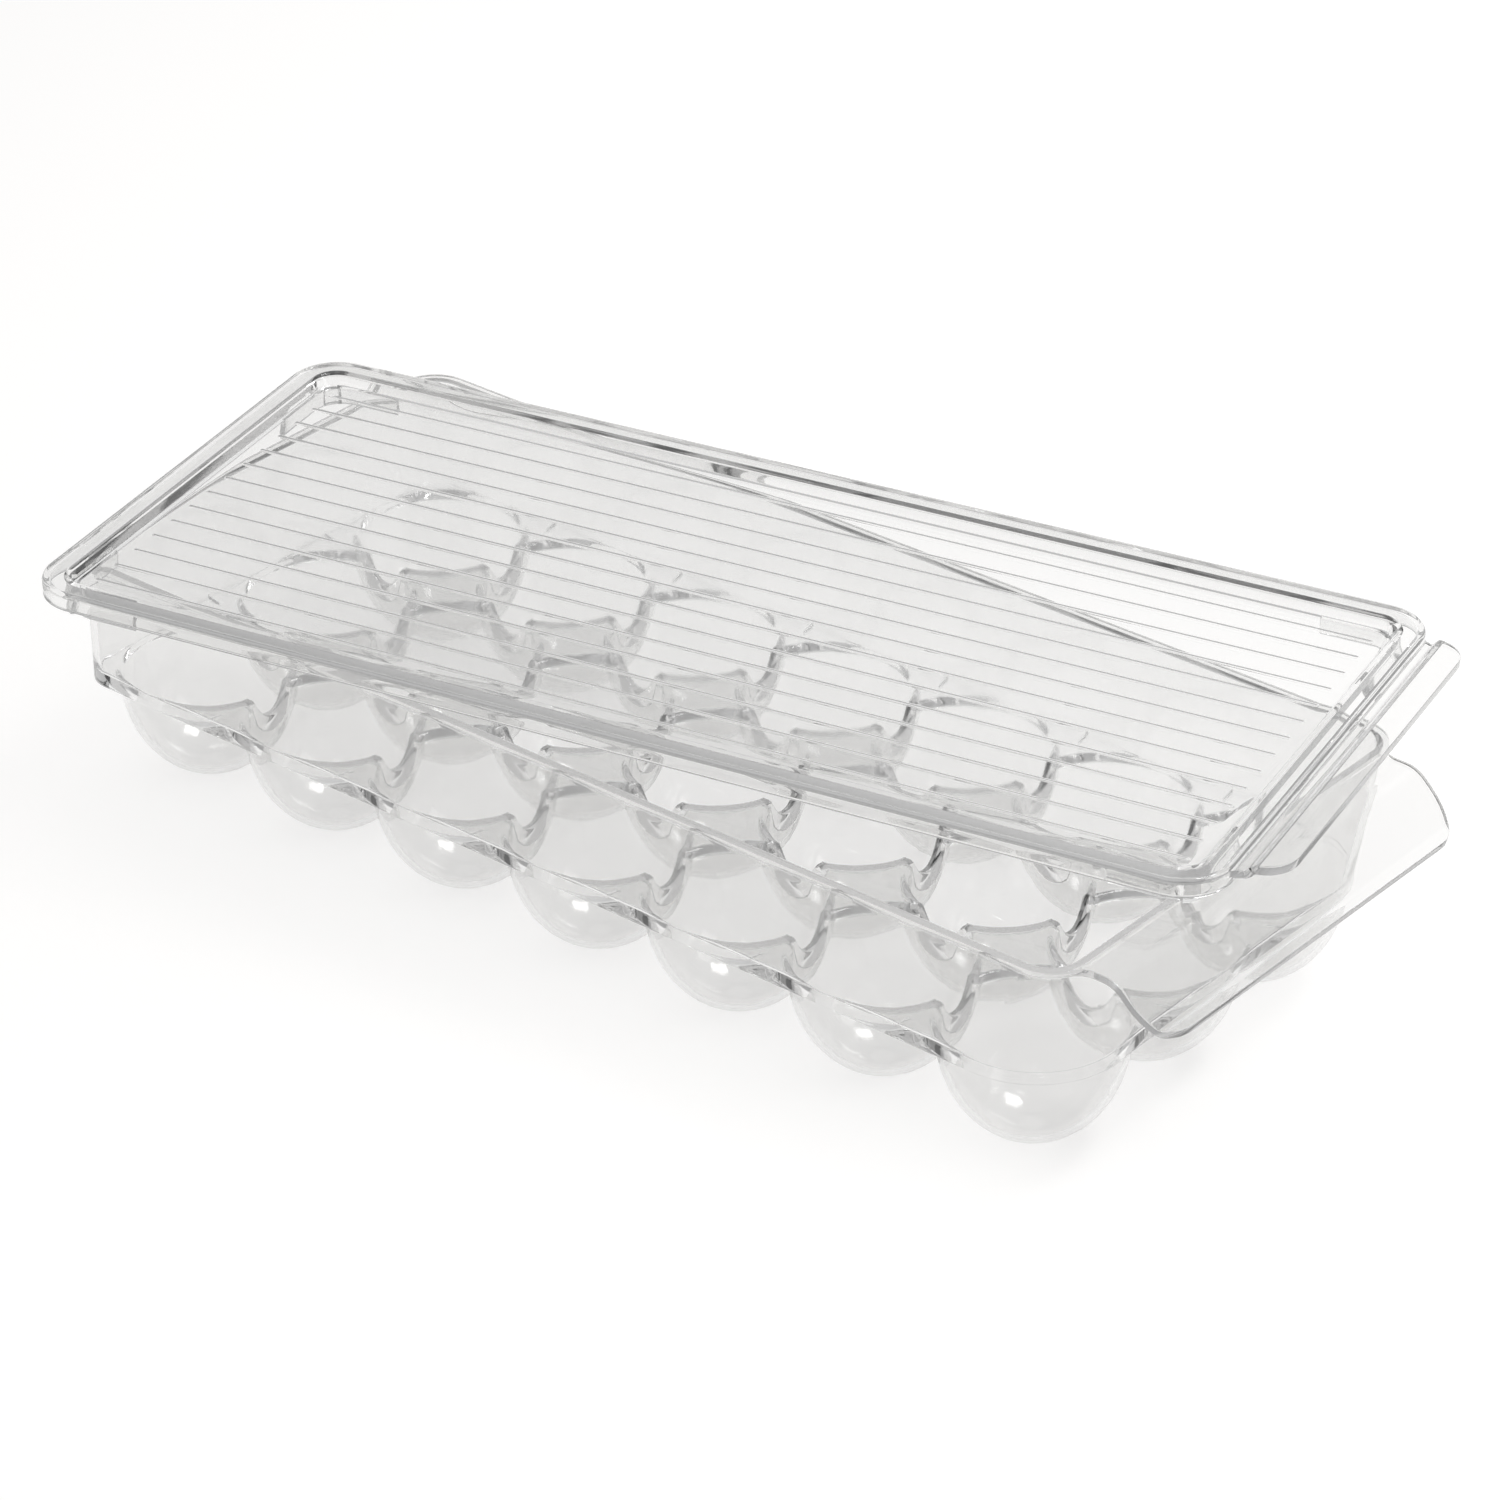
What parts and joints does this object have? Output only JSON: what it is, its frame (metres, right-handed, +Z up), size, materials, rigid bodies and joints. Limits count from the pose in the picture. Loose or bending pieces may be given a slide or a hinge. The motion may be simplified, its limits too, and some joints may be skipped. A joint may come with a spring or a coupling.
{
  "type": "lidded egg tray",
  "caption": "Long clear plastic egg tray for a fridge, with round egg cups in rows, leaning walls, a bent pull handle and a loose ribbed lid with a pull tab lying askew on top",
  "frame": {"origin": "centre of the small flat under the middle cup, on the surface that the tray stands on", "axes": "+X along the tray to its pull handle, +Y to the back, +Z up"},
  "size_m": [0.3813, 0.2204, 0.0795],
  "materials": {
    "clear_plastic": "gloss"
  },
  "bodies": {
    "tray": {"cup_back_1": "clear_plastic", "cup_back_2": "clear_plastic", "cup_back_3": "clear_plastic", "cup_back_4": "clear_plastic", "cup_back_5": "clear_plastic", "cup_back_6": "clear_plastic", "cup_back_7": "clear_plastic", "cup_front_1": "clear_plastic", "cup_front_2": "clear_plastic", "cup_front_3": "clear_plastic", "cup_front_4": "clear_plastic", "cup_front_5": "clear_plastic", "cup_front_6": "clear_plastic", "cup_front_7": "clear_plastic", "cup_middle_1": "clear_plastic", "cup_middle_2": "clear_plastic", "cup_middle_3": "clear_plastic", "cup_middle_4": "clear_plastic", "cup_middle_5": "clear_plastic", "cup_middle_6": "clear_plastic", "cup_middle_7": "clear_plastic", "pull_handle": "clear_plastic", "tray_corner_back_left": "clear_plastic", "tray_corner_back_right": "clear_plastic", "tray_corner_front_left": "clear_plastic", "tray_corner_front_right": "clear_plastic", "tray_wall_back": "clear_plastic", "tray_wall_front": "clear_plastic", "tray_wall_left": "clear_plastic", "tray_wall_right": "clear_plastic"},
    "lid": {"lid_corner_back_left": "clear_plastic", "lid_corner_back_right": "clear_plastic", "lid_corner_front_left": "clear_plastic", "lid_corner_front_right": "clear_plastic", "lid_edge_back": "clear_plastic", "lid_edge_front": "clear_plastic", "lid_edge_left": "clear_plastic", "lid_edge_right": "clear_plastic", "lid_panel": "clear_plastic", "locating_rib_back_left": "clear_plastic", "locating_rib_back_right": "clear_plastic", "locating_rib_front_left": "clear_plastic", "locating_rib_front_right": "clear_plastic", "pull_tab": "clear_plastic"}
  },
  "joints": [
    {"name": "lid_lift", "type": "slide", "parent": "tray", "child": "lid", "axis": [0, 0, 1], "range_m": [0, 0.1]}
  ]
}
